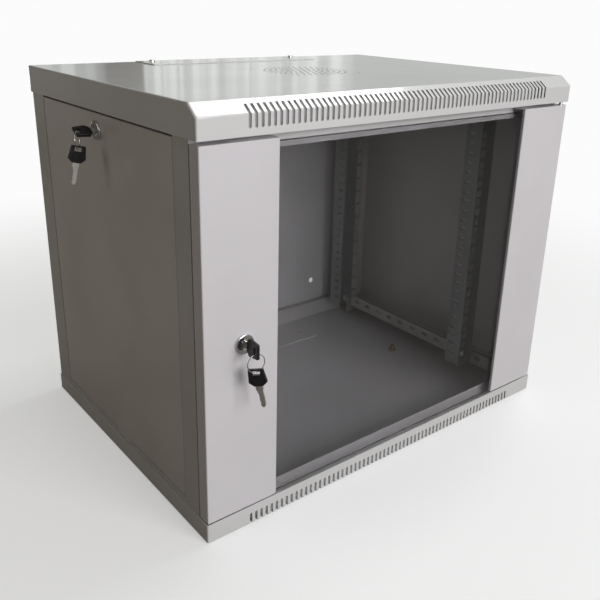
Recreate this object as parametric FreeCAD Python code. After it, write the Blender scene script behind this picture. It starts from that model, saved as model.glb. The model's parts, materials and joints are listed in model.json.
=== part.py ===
import FreeCAD, Part
import math
import os

# Nine-unit wall cabinet for 19-inch equipment.  Millimetres, +Z up, front towards -Y.
# The origin is the centre of the base's underside.

V = FreeCAD.Vector

# ---- driving dimensions -------------------------------------------------------------------
WIDTH = 600.0
DEPTH = 440.0
HEIGHT = 490.0

SHEET = 1.2                 # covers, door strips and side panels
FRAME_SHEET = 1.5           # posts, crossbars, rails and brackets

COVER_BOTTOM = 455.5        # lower edge of the top cover's skirt
CHAMFER_DEPTH = 15.3        # sloped front edge of the top cover
CHAMFER_HEIGHT = 12.5
BASE_HEIGHT = 24.0
BASE_INSET = 1.0            # the base is this much narrower than the cover on each side
BASE_REAR_INSET = 0.3

SLOT_COUNT = 65
SLOT_PITCH = 7.5
SLOT_WIDTH = 3.3

FAN_SPACING = 105.0         # square pattern of a 120 mm fan's screws
FAN_HOLE_RADIUS = 2.2
FAN_RINGS = 7
FAN_RING_PITCH = 8.0

CABLE_HALF = 146.0          # cable plates: half length, then half length of the opening under
CABLE_OPENING = 112.0       # them, then their places front to back
CABLE_FRONT = 156.0
CABLE_REAR = 216.0
CABLE_SCREW_X = 127.0
CABLE_SCREW_Y = 199.0
BASE_CABLE_FRONT = 130.0
BASE_CABLE_REAR = 190.0
BASE_SCREW_Y = 160.0
EARTH_X = 216.0
EARTH_Y = 6.0

DOOR_HALF_WIDTH = 297.5
DOOR_BOTTOM = 25.2
DOOR_TOP = 451.0
DOOR_FRONT = -219.0
DOOR_REAR = -202.0
STRIP_INNER = 203.0         # inner edge of each steel strip beside the glass
LAND_DEPTH = 3.1            # how far the glass land sits behind the strip's face
LAND_WIDTH = 15.0
GLASS_THICKNESS = 5.0
GLASS_TOP = 447.0
GLASS_BOTTOM = 24.9
TAPE_THICKNESS = 0.5

HINGE_X = 291.0
HINGE_Y = -213.5
PIN_RADIUS = 2.5
PIN_CLEARANCE = 0.08
BUSH_RADIUS = 4.0
PIN_BRACKET_Z = 418.0       # guide bracket of the spring-loaded upper pin
PIN_COLLAR_Z = 434.0

SIDE_FACE = 297.5           # outer face of posts and side panels
PANEL_BOTTOM = 32.0
PANEL_TOP = 452.7
PANEL_FRONT = -168.5
PANEL_REAR = 179.5
PANEL_FOLD = 14.5
TONGUE_FRONT = -28.0        # locating tongue at the panel's foot
TONGUE_REAR = 14.0
TONGUE_BOTTOM = 26.0

POST_FRONT = -200.0
POST_FRONT_END = -169.5
POST_REAR_START = 180.5
POST_REAR = 218.5
POST_FLANGE = 35.5
RAIL_TOP = 24.0             # upper face of the lower side rails
RAIL_INNER = 262.0
FRONT_SCREW_X = 276.0
FRONT_SCREW_Z = (9.0, 19.0, 462.0, 480.0)
REAR_SCREW_LOW = 14.0
REAR_SCREW_HIGH = 470.0
REAR_PANEL_SCREW_Z = (60.0, 240.0, 420.0)
BRACKET_LOW_TOP = 45.0
BRACKET_HIGH_BOTTOM = 439.0
BRACKET_BOLT_LOW = 36.0
BRACKET_BOLT_HIGH = 448.0
BRACKET_FIRST_SLOT = -146.0
BRACKET_SLOT_PITCH = 29.0
BRACKET_SLOTS = 12

WALL_HOLE_RADIUS = 5.0
WALL_SPACING_X = 400.0
WALL_SPACING_Z = 350.0
WALL_LOW = 70.0

RACK_HALF_OPENING = 225.0   # 450 mm clear opening
RACK_HOLE_HALF = 232.55     # 465.1 mm between the hole columns
RACK_FLANGE = 30.0
RACK_LEG = 28.0
RACK_FRONT_Y = -133.0
RACK_REAR_Y = 189.0
RACK_BOTTOM = 25.7
RACK_TOP = 457.0
UNIT = 44.45
UNITS = 9
FIRST_HOLE = 46.35
SQUARE_HOLE = 9.5

LOCK_Z_DOOR = 236.0
LOCK_X_DOOR = -248.0
LOCK_Z_SIDE = 433.0
LOCK_Y_SIDE = 11.0
BEZEL_RADIUS = 11.5
BARREL_RADIUS = 9.4
BARREL_LENGTH = 19.0
PLUG_RADIUS = 6.0
CAM_LENGTH = 30.0
CAM_WIDTH = 14.0
CAM_TOP = -21.2             # cam's front face, measured from the panel's outer face

HEAD_LENGTH = 20.0
HEAD_THICKNESS = 3.6
HEAD_SLOT_LENGTH = 9.5
HEAD_SLOT_WIDTH = 4.8
HEAD_SLOT_AT = 15.6         # slot's centre from the head's blade end
BLADE_LENGTH = 25.0
BLADE_THICKNESS = 2.0
KEY_STANDOFF = 7.0          # from the panel's face to an inserted key's head
RING_RADIUS = 10.4
RING_WIRE = 0.45
RING_GAP = 0.65             # free play between the ring's wire and the inserted key's slot
SPARE_GAP = 1.6             # free play between the ring's wire and the hanging key's slot


# ---- small helpers ------------------------------------------------------------------------
def block(x0, x1, y0, y1, z0, z1):
    """A box between two corners given as ranges."""
    return Part.makeBox(x1 - x0, y1 - y0, z1 - z0, V(x0, y0, z0))


def rod(radius, start, axis, length):
    """A round bar from a start point along an axis."""
    return Part.makeCylinder(radius, length, V(*start), V(*axis))


def prism(points, direction):
    """A closed outline of corner points, swept along a direction."""
    corners = [V(*p) for p in points]
    wire = Part.makePolygon(corners + [corners[0]])
    return Part.Face(wire).extrude(V(*direction))


def slot_shape(centre, half_length, half_width, thickness):
    """A round-ended slot along X, cut direction Y, centred on a point."""
    cx, cy, cz = centre
    straight = half_length - half_width
    y0 = cy - thickness / 2
    bar = block(cx - straight, cx + straight, y0, y0 + thickness, cz - half_width, cz + half_width)
    ends = [rod(half_width, (cx + s * straight, y0, cz), (0, 1, 0), thickness) for s in (-1, 1)]
    return bar.fuse(ends)


def mirrored(shape):
    """The same piece for the other side of the cabinet."""
    return shape.mirror(V(0, 0, 0), V(1, 0, 0))


def placed(shape, origin, x_axis, y_axis, z_axis):
    """A copy of a shape built at the origin, set into a frame of three axes."""
    m = FreeCAD.Matrix(
        x_axis[0], y_axis[0], z_axis[0], origin[0],
        x_axis[1], y_axis[1], z_axis[1], origin[1],
        x_axis[2], y_axis[2], z_axis[2], origin[2],
        0, 0, 0, 1)
    moved = shape.copy()
    moved.Placement = FreeCAD.Placement(m).multiply(shape.Placement)
    return moved


def clean(shape):
    """Joins coplanar faces left by a fusion."""
    return shape.removeSplitter()


# ---- covers -------------------------------------------------------------------------------
def vent_slots(low, high, front, back, end_radius):
    """A row of narrow upright slots cut from front to back."""
    cuts = []
    first = -(SLOT_COUNT - 1) / 2 * SLOT_PITCH
    for i in range(SLOT_COUNT):
        x = first + i * SLOT_PITCH
        cuts.append(block(x - SLOT_WIDTH / 2, x + SLOT_WIDTH / 2, front, back, low, high))
        if end_radius:
            cuts.append(rod(SLOT_WIDTH / 2, (x, front, end_radius), (0, 1, 0), back - front))
    return Part.makeCompound(cuts)


def top_cover():
    """Folded lid with a sloped front edge, vent slots, fan perforation and a cable cut-out."""
    half = WIDTH / 2
    front = -DEPTH / 2
    rear = DEPTH / 2
    bend = HEIGHT - CHAMFER_HEIGHT
    outline = [(-half, front, COVER_BOTTOM), (-half, front, bend),
               (-half, front + CHAMFER_DEPTH, HEIGHT), (-half, rear, HEIGHT),
               (-half, rear, COVER_BOTTOM)]
    outer = prism(outline, (WIDTH, 0, 0))
    rounded = [e for e in outer.Edges if e.BoundBox.ZMin > COVER_BOTTOM - 1
               and not (abs(e.BoundBox.ZMax - COVER_BOTTOM) < 0.01)]
    outer = outer.makeFillet(2.0, rounded)
    slope = math.atan2(CHAMFER_HEIGHT, CHAMFER_DEPTH)
    bend_in = bend - SHEET * math.tan(slope / 2)
    top_in = front + CHAMFER_DEPTH + SHEET * math.tan(slope / 2)
    inner = prism([(-half + SHEET, front + SHEET, COVER_BOTTOM - 5),
                   (-half + SHEET, front + SHEET, bend_in),
                   (-half + SHEET, top_in, HEIGHT - SHEET),
                   (-half + SHEET, rear - SHEET, HEIGHT - SHEET),
                   (-half + SHEET, rear - SHEET, COVER_BOTTOM - 5)],
                  (WIDTH - 2 * SHEET, 0, 0))
    body = outer.cut(inner)
    slots = vent_slots(bend - 12.5, bend + 7.8, front - 1, front + 13, bend - 12.5)
    body = body.cut(slots)
    holes = [rod(2.2, (0, 0, HEIGHT - 5), (0, 0, 1), 10)]
    for ring in range(1, FAN_RINGS + 1):
        radius = FAN_RING_PITCH * ring
        count = 6 * ring
        for k in range(count):
            a = 2 * math.pi * k / count
            holes.append(rod(2.2, (radius * math.cos(a), radius * math.sin(a), HEIGHT - 5),
                             (0, 0, 1), 10))
    for sx in (-1, 1):
        for sy in (-1, 1):
            holes.append(rod(FAN_HOLE_RADIUS, (sx * FAN_SPACING / 2, sy * FAN_SPACING / 2, HEIGHT - 5),
                             (0, 0, 1), 10))
    body = body.cut(Part.makeCompound(holes))
    body = body.cut(block(-CABLE_OPENING, CABLE_OPENING, CABLE_FRONT + 8, CABLE_REAR - 8,
                          HEIGHT - 5, HEIGHT + 5))
    screw_holes = [rod(2.1, (sx * CABLE_SCREW_X, CABLE_SCREW_Y, HEIGHT - 5), (0, 0, 1), 10)
                   for sx in (-1, 1)]
    body = body.cut(Part.makeCompound(screw_holes))
    tab = block(HINGE_X - 9, WIDTH / 2 - SHEET, front + SHEET, front + 18, COVER_BOTTOM,
                COVER_BOTTOM + SHEET)
    tab = tab.cut(rod(BUSH_RADIUS, (HINGE_X, HINGE_Y, COVER_BOTTOM - 1), (0, 0, 1), 4))
    return clean(body.fuse(tab))


def base_tray():
    """Shallow folded tray: floor, slotted front fascia, two sides and a rear edge."""
    half = WIDTH / 2 - BASE_INSET
    front = -DEPTH / 2
    rear = DEPTH / 2 - BASE_REAR_INSET
    outer = block(-half, half, front, rear, 0, BASE_HEIGHT)
    upright = [e for e in outer.Edges if e.BoundBox.ZLength > BASE_HEIGHT - 1]
    outer = outer.makeFillet(2.0, upright)
    low = [e for e in outer.Edges if e.BoundBox.ZMax < 0.01]
    outer = outer.makeFillet(1.0, low)
    inner = block(-half + SHEET, half - SHEET, front + SHEET, rear - SHEET, SHEET, BASE_HEIGHT + 5)
    body = outer.cut(inner)
    slots = vent_slots(-1, 12.2, front - 1, front + 6.0, 12.2)
    body = body.cut(slots)
    body = body.cut(block(-CABLE_OPENING, CABLE_OPENING, BASE_CABLE_FRONT + 8,
                          BASE_CABLE_REAR - 8, -1, 5))
    screw_holes = [rod(2.1, (sx * CABLE_SCREW_X, BASE_SCREW_Y, -1), (0, 0, 1), 5) for sx in (-1, 1)]
    screw_holes.append(rod(3.1, (EARTH_X, EARTH_Y, -1), (0, 0, 1), 5))
    body = body.cut(Part.makeCompound(screw_holes))
    tab = block(HINGE_X - 9, half - SHEET, front + SHEET, front + 18, BASE_HEIGHT - SHEET,
                BASE_HEIGHT)
    tab = tab.cut(rod(BUSH_RADIUS, (HINGE_X, HINGE_Y, BASE_HEIGHT - 3), (0, 0, 1), 6))
    return clean(body.fuse(tab))


def cable_plate(z0, front, rear, screw_y):
    """Flat blanking plate with rounded corners and two screw holes."""
    plate = block(-CABLE_HALF, CABLE_HALF, front, rear, z0, z0 + SHEET)
    corners = [e for e in plate.Edges if abs(e.BoundBox.ZLength - SHEET) < 0.01]
    plate = plate.makeFillet(3.0, corners)
    for sx in (-1, 1):
        plate = plate.cut(rod(2.1, (sx * CABLE_SCREW_X, screw_y, z0 - 1), (0, 0, 1), 4))
    return plate


def pan_screw(tip, direction, length, radius, head_radius, head_height):
    """Pan-head screw with a cross recess; the head's seat is length from the tip."""
    d = V(*direction)
    base = V(*tip)
    shank = Part.makeCylinder(radius, length, base, d)
    seat = base + d * length
    head = Part.makeCylinder(head_radius, head_height, seat, d)
    top_edges = [e for e in head.Edges if (e.CenterOfMass - (seat + d * head_height)).Length < 0.01]
    head = head.makeFillet(head_height * 0.45, top_edges)
    side = d.cross(V(0, 0, 1)) if abs(d.z) < 0.9 else V(1, 0, 0)
    other = d.cross(side)
    cross = []
    for long_axis, short_axis in ((side, other), (other, side)):
        half = head_radius * 0.6
        w = head_radius * 0.14
        corner = seat + d * (head_height * 0.55) - long_axis * half - short_axis * w
        pts = [corner, corner + long_axis * 2 * half,
               corner + long_axis * 2 * half + short_axis * 2 * w, corner + short_axis * 2 * w]
        cross.append(prism([tuple(p) for p in pts], tuple(d * head_height)))
    return shank.fuse(head).cut(cross[0]).cut(cross[1])


# ---- frame --------------------------------------------------------------------------------
def front_post_left():
    """Folded corner post: side web, wide front flange and a short inward return."""
    x = -SIDE_FACE
    t = FRAME_SHEET
    low = SHEET
    high = HEIGHT - SHEET
    web = block(x, x + t, POST_FRONT, POST_FRONT_END, low, high)
    flange = block(x, x + POST_FLANGE, POST_FRONT, POST_FRONT + t, low, high)
    back = block(x, x + 13, POST_FRONT_END - t, POST_FRONT_END, low, high)
    post = clean(web.fuse([flange, back]))
    return post.cut(front_screw_holes())


def front_screw_holes():
    """Holes for the screws that join the front posts and crossbars."""
    holes = []
    for sx in (-1, 1):
        for z in FRONT_SCREW_Z:
            holes.append(rod(2.1, (sx * FRONT_SCREW_X, POST_FRONT - 1, z), (0, 1, 0), 6))
    return Part.makeCompound(holes)


def rear_post_left():
    """Rear corner post with a perforated flange that faces the rack space."""
    x = -SIDE_FACE
    t = FRAME_SHEET
    low = SHEET
    high = HEIGHT - SHEET
    web = block(x, x + t, POST_REAR_START, POST_REAR, low, high)
    flange = block(x, x + POST_FLANGE, POST_REAR_START, POST_REAR_START + t, low, high)
    back = block(x, x + 25, POST_REAR - t, POST_REAR, low, high)
    post = clean(web.fuse([flange, back]))
    cuts = []
    for i in range(16):
        z = 45 + 25 * i
        cuts.append(slot_shape((x + 21, POST_REAR_START + t / 2, z), 6, 2.5, 6))
    for z in (REAR_SCREW_LOW, REAR_SCREW_HIGH):
        cuts.append(rod(2.1, (x + 15, POST_REAR - 3, z), (0, 1, 0), 6))
    for z in REAR_PANEL_SCREW_Z:
        cuts.append(rod(2.1, (x + 15, POST_REAR - 3, z), (0, 1, 0), 6))
    return post.cut(Part.makeCompound(cuts))


def front_crossbar(z0, z1, flange_z):
    """Folded bar between the front posts; its ends lap behind their flanges."""
    t = FRAME_SHEET
    y = POST_FRONT + t
    face = block(-288, 288, y, y + t, z0, z1)
    flange = block(-RAIL_INNER + 0.5, RAIL_INNER - 0.5, y + t, y + 20, flange_z, flange_z + t)
    return clean(face.fuse(flange)).cut(front_screw_holes())


def rear_crossbar(z0, z1, closed_top):
    """Inverted channel between the rear posts."""
    t = FRAME_SHEET
    y = POST_REAR - FRAME_SHEET
    flange_z = z1 - t if closed_top else z0
    back = block(-288, 288, y - t, y, z0, z1)
    face = block(-RAIL_INNER, RAIL_INNER, y - 11, y - 11 + t, z0, z1)
    flange = block(-RAIL_INNER, RAIL_INNER, y - 11 + t, y - t, flange_z, flange_z + t)
    bar = clean(back.fuse([face, flange]))
    z = REAR_SCREW_LOW if closed_top else REAR_SCREW_HIGH
    cuts = [rod(2.1, (sx * (SIDE_FACE - 15), y - 3, z), (0, 1, 0), 6) for sx in (-1, 1)]
    return bar.cut(Part.makeCompound(cuts))


def lower_side_rail_left():
    """Rail at floor level: outer lip that the side panel stands on, shelf and short inner lip."""
    t = FRAME_SHEET
    x = -SIDE_FACE
    inner = -RAIL_INNER
    lip = block(x, x + t, POST_FRONT_END, POST_REAR_START, SHEET, PANEL_BOTTOM - 0.3)
    shelf = block(x + t, inner, POST_FRONT_END, POST_REAR_START, RAIL_TOP - t, RAIL_TOP)
    nose = block(x + 14, inner, POST_FRONT + 2 * t, POST_FRONT_END, RAIL_TOP - t, RAIL_TOP)
    lip_down = block(inner - t, inner, POST_FRONT + 2 * t, POST_REAR_START, RAIL_TOP - 4,
                     RAIL_TOP - t)
    rail = clean(lip.fuse([shelf, nose, lip_down]))
    notch = block(x - 1, x + t + 0.3, TONGUE_FRONT - 1.5, TONGUE_REAR + 1.5, 25.2, PANEL_BOTTOM)
    return rail.cut(notch)


def upper_side_rail_left():
    """Rail under the lid: outer web, catch plate for the panel's cam and inner leg."""
    t = FRAME_SHEET
    x = -SIDE_FACE
    inner = -RAIL_INNER
    top = HEIGHT - SHEET
    web = block(x, x + t, POST_FRONT_END, POST_REAR_START, COVER_BOTTOM, top)
    roof = block(x + t, inner, POST_FRONT_END, POST_REAR_START, top - t, top)
    catch = block(-279.5, -278, POST_FRONT_END, POST_REAR_START, COVER_BOTTOM, top - t)
    leg = block(inner - t, inner, POST_FRONT_END, POST_REAR_START, COVER_BOTTOM + 1, top - t)
    return clean(web.fuse([roof, catch, leg]))


def perforation(x, z, across):
    """Round-ended slots along Y through a bracket's upright leg."""
    cuts = []
    for i in range(BRACKET_SLOTS):
        y = BRACKET_FIRST_SLOT + i * BRACKET_SLOT_PITCH
        cuts.append(block(x - across, x + across, y - 3, y + 3, z - 3.2, z + 3.2))
        cuts.append(rod(3.2, (x - across, y - 3, z), (1, 0, 0), 2 * across))
        cuts.append(rod(3.2, (x - across, y + 3, z), (1, 0, 0), 2 * across))
    return Part.makeCompound(cuts)


def lower_bracket_left():
    """Perforated angle along the lower side rail; the rack rails bolt to its upright leg."""
    t = FRAME_SHEET
    leg_x = -(RACK_HALF_OPENING + RACK_FLANGE) - t
    foot = block(-288, leg_x + t, POST_FRONT_END, POST_REAR_START, RAIL_TOP, RAIL_TOP + t)
    leg = block(leg_x, leg_x + t, POST_FRONT_END, POST_REAR_START, RAIL_TOP, BRACKET_LOW_TOP)
    angle = clean(foot.fuse(leg))
    slots = perforation(leg_x, BRACKET_BOLT_LOW, 5)
    return angle.cut(slots)


def upper_bracket_left():
    """Perforated stepped strip under the lid; the rack rails bolt to its lower leg."""
    t = FRAME_SHEET
    leg_x = -(RACK_HALF_OPENING + RACK_FLANGE) - t
    step = COVER_BOTTOM + 3
    inner = -RAIL_INNER
    leg = block(leg_x, leg_x + t, POST_FRONT_END, POST_REAR_START, BRACKET_HIGH_BOTTOM, step)
    web = block(inner, leg_x + t, POST_FRONT_END, POST_REAR_START, step - t, step)
    upper = block(inner, inner + t, POST_FRONT_END, POST_REAR_START, step, step + 16)
    strip = clean(leg.fuse([web, upper]))
    slots = perforation(leg_x, BRACKET_BOLT_HIGH, 5)
    return strip.cut(slots)


def unit_hole_heights():
    """Centre heights of the square holes: three to a rack unit."""
    heights = []
    for unit in range(UNITS):
        base = FIRST_HOLE + unit * UNIT
        heights += [base, base + 15.875, base + 31.75]
    return heights


def rack_rail_left(face_y, backward):
    """Nineteen-inch rail: square-holed face, slotted inner leg and a plain outer leg."""
    t = FRAME_SHEET
    x_in = -RACK_HALF_OPENING
    x_out = x_in - RACK_FLANGE
    y0 = face_y if backward > 0 else face_y - t
    far = face_y + backward * RACK_LEG
    leg_low = min(face_y, far)
    leg_high = max(face_y, far)
    top = RACK_TOP
    face = block(x_out, x_in, y0, y0 + t, RACK_BOTTOM, top)
    inner_leg = block(x_in - t, x_in, leg_low, leg_high, RACK_BOTTOM, top)
    outer_leg = block(x_out, x_out + t, leg_low, leg_high, RACK_BOTTOM, top)
    rail = clean(face.fuse([inner_leg, outer_leg]))
    cuts = []
    half = SQUARE_HOLE / 2
    mid = face_y + backward * 18.0
    for z in unit_hole_heights():
        cuts.append(block(-RACK_HOLE_HALF - half, -RACK_HOLE_HALF + half, y0 - 1, y0 + t + 1,
                          z - half, z + half))
        cuts.append(block(x_in - t - 1, x_in + 1, mid - 5.5, mid + 5.5, z - 2, z + 2))
    bolt_y = rail_bolt_y(face_y, backward)
    for z in (BRACKET_BOLT_LOW, BRACKET_BOLT_HIGH):
        cuts.append(rod(3.2, (x_out - 1, bolt_y, z), (1, 0, 0), 4))
    return rail.cut(Part.makeCompound(cuts))


def rail_bolt_y(face_y, backward):
    """Where a rack rail's bolt lands: the nearest bracket slot inside the rail's leg."""
    target = face_y + backward * 16.0
    index = round((target - BRACKET_FIRST_SLOT) / BRACKET_SLOT_PITCH)
    return BRACKET_FIRST_SLOT + BRACKET_SLOT_PITCH * index


def hexagon(across_flats, centre, axis, thickness):
    """A six-sided nut or bolt head blank."""
    radius = across_flats / math.sqrt(3)
    if abs(axis[0]) > 0.5:
        pts = [(centre[0], centre[1] + radius * math.cos(k * math.pi / 3),
                centre[2] + radius * math.sin(k * math.pi / 3)) for k in range(6)]
    elif abs(axis[1]) > 0.5:
        pts = [(centre[0] + radius * math.cos(k * math.pi / 3), centre[1],
                centre[2] + radius * math.sin(k * math.pi / 3)) for k in range(6)]
    else:
        pts = [(centre[0] + radius * math.cos(k * math.pi / 3),
                centre[1] + radius * math.sin(k * math.pi / 3), centre[2]) for k in range(6)]
    return prism(pts, tuple(a * thickness for a in axis))


def rack_rail_bolts():
    """Eight M6 bolts with nuts: each rack rail to its upper and lower bracket."""
    solids = []
    leg = RACK_HALF_OPENING + RACK_FLANGE
    for side in (-1, 1):
        for face_y, backward in ((RACK_FRONT_Y, 1), (RACK_REAR_Y, -1)):
            y = rail_bolt_y(face_y, backward)
            for z in (BRACKET_BOLT_LOW, BRACKET_BOLT_HIGH):
                head_x = side * (leg - FRAME_SHEET)
                head = hexagon(10, (head_x, y, z), (-side, 0, 0), 4)
                shank = rod(3.0, (head_x, y, z), (side, 0, 0), 9)
                solids.append(head.fuse(shank))
                nut_x = side * (leg + FRAME_SHEET)
                nut = hexagon(10, (nut_x, y, z), (side, 0, 0), 5)
                solids.append(nut.cut(rod(3.05, (nut_x, y, z), (side, 0, 0), 6)))
    return Part.makeCompound(solids)


def rear_panel():
    """Flat back sheet with four wall-bolt holes and six screw holes."""
    y = POST_REAR
    sheet = block(-296, 296, y, y + SHEET, BASE_HEIGHT + 0.6, COVER_BOTTOM - 0.6)
    cuts = []
    for sx in (-1, 1):
        for z in (WALL_LOW, WALL_LOW + WALL_SPACING_Z):
            cuts.append(rod(WALL_HOLE_RADIUS, (sx * WALL_SPACING_X / 2, y - 2, z), (0, 1, 0), 6))
        for z in REAR_PANEL_SCREW_Z:
            cuts.append(rod(2.1, (sx * (SIDE_FACE - 15), y - 2, z), (0, 1, 0), 6))
    return sheet.cut(Part.makeCompound(cuts))


# ---- small fasteners ----------------------------------------------------------------------
def cable_plate_screws():
    """Four M4 pan-head screws: two in each cable plate, with nuts on the far side."""
    solids = []
    for sx in (-1, 1):
        x = sx * CABLE_SCREW_X
        solids.append(pan_screw((x, CABLE_SCREW_Y, HEIGHT - 7), (0, 0, 1), 7 + SHEET, 2.0, 4.0, 2.4))
        nut = hexagon(7, (x, CABLE_SCREW_Y, HEIGHT - SHEET), (0, 0, -1), 3.2)
        solids.append(nut.cut(rod(2.05, (x, CABLE_SCREW_Y, HEIGHT - 8), (0, 0, 1), 9)))
        solids.append(pan_screw((x, BASE_SCREW_Y, 0.2), (0, 0, 1), 2 * SHEET - 0.2, 2.0, 4.0, 2.4))
    return Part.makeCompound(solids)


def frame_screws():
    """M4 screws that hold the crossbars' ends to the posts."""
    solids = []
    for sx in (-1, 1):
        for z in FRONT_SCREW_Z:
            solids.append(pan_screw((sx * FRONT_SCREW_X, POST_FRONT + 8, z), (0, -1, 0), 8, 2.0,
                                    3.6, 1.8))
        for z in (REAR_SCREW_LOW, REAR_SCREW_HIGH):
            x = sx * (SIDE_FACE - 15)
            solids.append(pan_screw((x, POST_REAR, z), (0, -1, 0), 2 * FRAME_SHEET, 2.0, 3.6, 1.8))
    return solids


def rear_panel_screws():
    """Six M4 pan-head screws through the rear panel into the rear posts."""
    solids = []
    for sx in (-1, 1):
        for z in REAR_PANEL_SCREW_Z:
            x = sx * (SIDE_FACE - 15)
            solids.append(pan_screw((x, POST_REAR - 8, z), (0, 1, 0), 8 + SHEET, 2.0, 3.8, 2.2))
    return solids


def earth_stud():
    """M6 earthing stud with its nut, standing on the floor of the base."""
    stud = rod(3.0, (EARTH_X, EARTH_Y, 0.0), (0, 0, 1), 12)
    nut = hexagon(10, (EARTH_X, EARTH_Y, SHEET), (0, 0, 1), 5)
    return stud.fuse(nut)


def hinge_bushes():
    """Two plastic bushes: one under the lid, one on the base, for the door's pins."""
    bore = PIN_RADIUS + PIN_CLEARANCE
    bushes = []
    for seat, inward in ((COVER_BOTTOM, 1), (BASE_HEIGHT, -1)):
        collar_z = seat + (SHEET if inward > 0 else -SHEET - 1.5)
        body_z = seat - (0 if inward > 0 else 3.7)
        body = rod(BUSH_RADIUS, (HINGE_X, HINGE_Y, body_z), (0, 0, 1), 3.7)
        collar = rod(BUSH_RADIUS + 1.2, (HINGE_X, HINGE_Y, collar_z), (0, 0, 1), 1.5)
        bush = body.fuse(collar)
        bushes.append(bush.cut(rod(bore, (HINGE_X, HINGE_Y, seat - 6), (0, 0, 1), 12)))
    return Part.makeCompound(bushes)


# ---- door ---------------------------------------------------------------------------------
def door_strip_right():
    """Strip on the hinge side: a pan open at the back, with a land and foot notch for the glass."""
    t = SHEET
    x0 = STRIP_INNER
    x1 = DOOR_HALF_WIDTH
    outer = block(x0, x1, DOOR_FRONT, DOOR_REAR, DOOR_BOTTOM, DOOR_TOP)
    edges = [e for e in outer.Edges if abs(e.BoundBox.YMax - DOOR_FRONT) < 0.01
             and e.BoundBox.ZLength > 1]
    outer = outer.makeFillet(1.4, edges)
    pocket = block(x0 + t, x1 - t, DOOR_FRONT + t, DOOR_REAR + 5, DOOR_BOTTOM + t, DOOR_TOP - t)
    pan = outer.cut(pocket)
    land_front = DOOR_FRONT + LAND_DEPTH
    open_side = block(x0 - 1, x0 + t, land_front + t, DOOR_REAR + 5, DOOR_BOTTOM + t, DOOR_TOP - t)
    foot_notch = block(x0 - 1, x0 + LAND_WIDTH, land_front + t, DOOR_REAR + 5, DOOR_BOTTOM - 1,
                       DOOR_BOTTOM + t + 1)
    pan = pan.cut(open_side).cut(foot_notch)
    land = block(x0, x0 + LAND_WIDTH, land_front, land_front + t, DOOR_BOTTOM + t, DOOR_TOP - t)
    pan = clean(pan.fuse(land))
    holes = [rod(PIN_RADIUS + 0.02, (HINGE_X, HINGE_Y, DOOR_BOTTOM - 2), (0, 0, 1), 6),
             rod(PIN_RADIUS + PIN_CLEARANCE, (HINGE_X, HINGE_Y, DOOR_TOP - 4), (0, 0, 1), 6)]
    return pan.cut(Part.makeCompound(holes))


def door_strip_left():
    """Strip on the lock side: like the other, with the lock's hole instead of pin holes."""
    t = SHEET
    x0 = -DOOR_HALF_WIDTH
    x1 = -STRIP_INNER
    outer = block(x0, x1, DOOR_FRONT, DOOR_REAR, DOOR_BOTTOM, DOOR_TOP)
    edges = [e for e in outer.Edges if abs(e.BoundBox.YMax - DOOR_FRONT) < 0.01
             and e.BoundBox.ZLength > 1]
    outer = outer.makeFillet(1.4, edges)
    pocket = block(x0 + t, x1 - t, DOOR_FRONT + t, DOOR_REAR + 5, DOOR_BOTTOM + t, DOOR_TOP - t)
    pan = outer.cut(pocket)
    land_front = DOOR_FRONT + LAND_DEPTH
    open_side = block(x1 - t, x1 + 1, land_front + t, DOOR_REAR + 5, DOOR_BOTTOM + t, DOOR_TOP - t)
    foot_notch = block(x1 - LAND_WIDTH, x1 + 1, land_front + t, DOOR_REAR + 5, DOOR_BOTTOM - 1,
                       DOOR_BOTTOM + t + 1)
    pan = pan.cut(open_side).cut(foot_notch)
    land = block(x1 - LAND_WIDTH, x1, land_front, land_front + t, DOOR_BOTTOM + t, DOOR_TOP - t)
    pan = clean(pan.fuse(land))
    return pan.cut(rod(BARREL_RADIUS + 0.2, (LOCK_X_DOOR, DOOR_FRONT - 2, LOCK_Z_DOOR), (0, 1, 0), 6))


def glass_front():
    """Where the glass's front face sits."""
    return DOOR_FRONT + LAND_DEPTH + SHEET + TAPE_THICKNESS


def door_glass():
    """Tempered glass pane with ground edges, carried behind the strips' lands."""
    half = STRIP_INNER + LAND_WIDTH - 1.0
    y = glass_front()
    pane = block(-half, half, y, y + GLASS_THICKNESS, GLASS_BOTTOM, GLASS_TOP)
    return pane.makeChamfer(0.6, pane.Edges)


def door_glass_tape():
    """Two lengths of bonding tape between the strips' lands and the glass."""
    y = glass_front()
    tapes = []
    for side in (-1, 1):
        x_in = side * (STRIP_INNER + 2.5)
        x_out = side * (STRIP_INNER + LAND_WIDTH - 2.0)
        tapes.append(block(min(x_in, x_out), max(x_in, x_out), y - TAPE_THICKNESS, y,
                           GLASS_BOTTOM + 3, GLASS_TOP - 3))
    return Part.makeCompound(tapes)


def hinge_pin_bottom():
    """Fixed lower pin, headed inside the strip and standing down into the base's bush."""
    pin = rod(PIN_RADIUS, (HINGE_X, HINGE_Y, BASE_HEIGHT - 3.5), (0, 0, 1),
              DOOR_BOTTOM + SHEET - BASE_HEIGHT + 3.5)
    head = rod(PIN_RADIUS + 1.5, (HINGE_X, HINGE_Y, DOOR_BOTTOM + SHEET), (0, 0, 1), 2.0)
    return pin.fuse(head)


def hinge_pin_bracket():
    """Small channel welded inside the strip; it guides the spring-loaded upper pin."""
    t = SHEET
    x0 = HINGE_X - 12.0
    x1 = DOOR_HALF_WIDTH - SHEET
    y0 = DOOR_FRONT + SHEET
    y1 = HINGE_Y + 5.5
    low = PIN_BRACKET_Z
    floor = block(x0, x1, y0, y1, low, low + t)
    floor = floor.cut(rod(PIN_RADIUS + PIN_CLEARANCE, (HINGE_X, HINGE_Y, low - 1), (0, 0, 1), 4))
    wall = block(x0, x0 + t, y0, y1, low, DOOR_TOP - SHEET)
    return clean(floor.fuse(wall))


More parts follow.
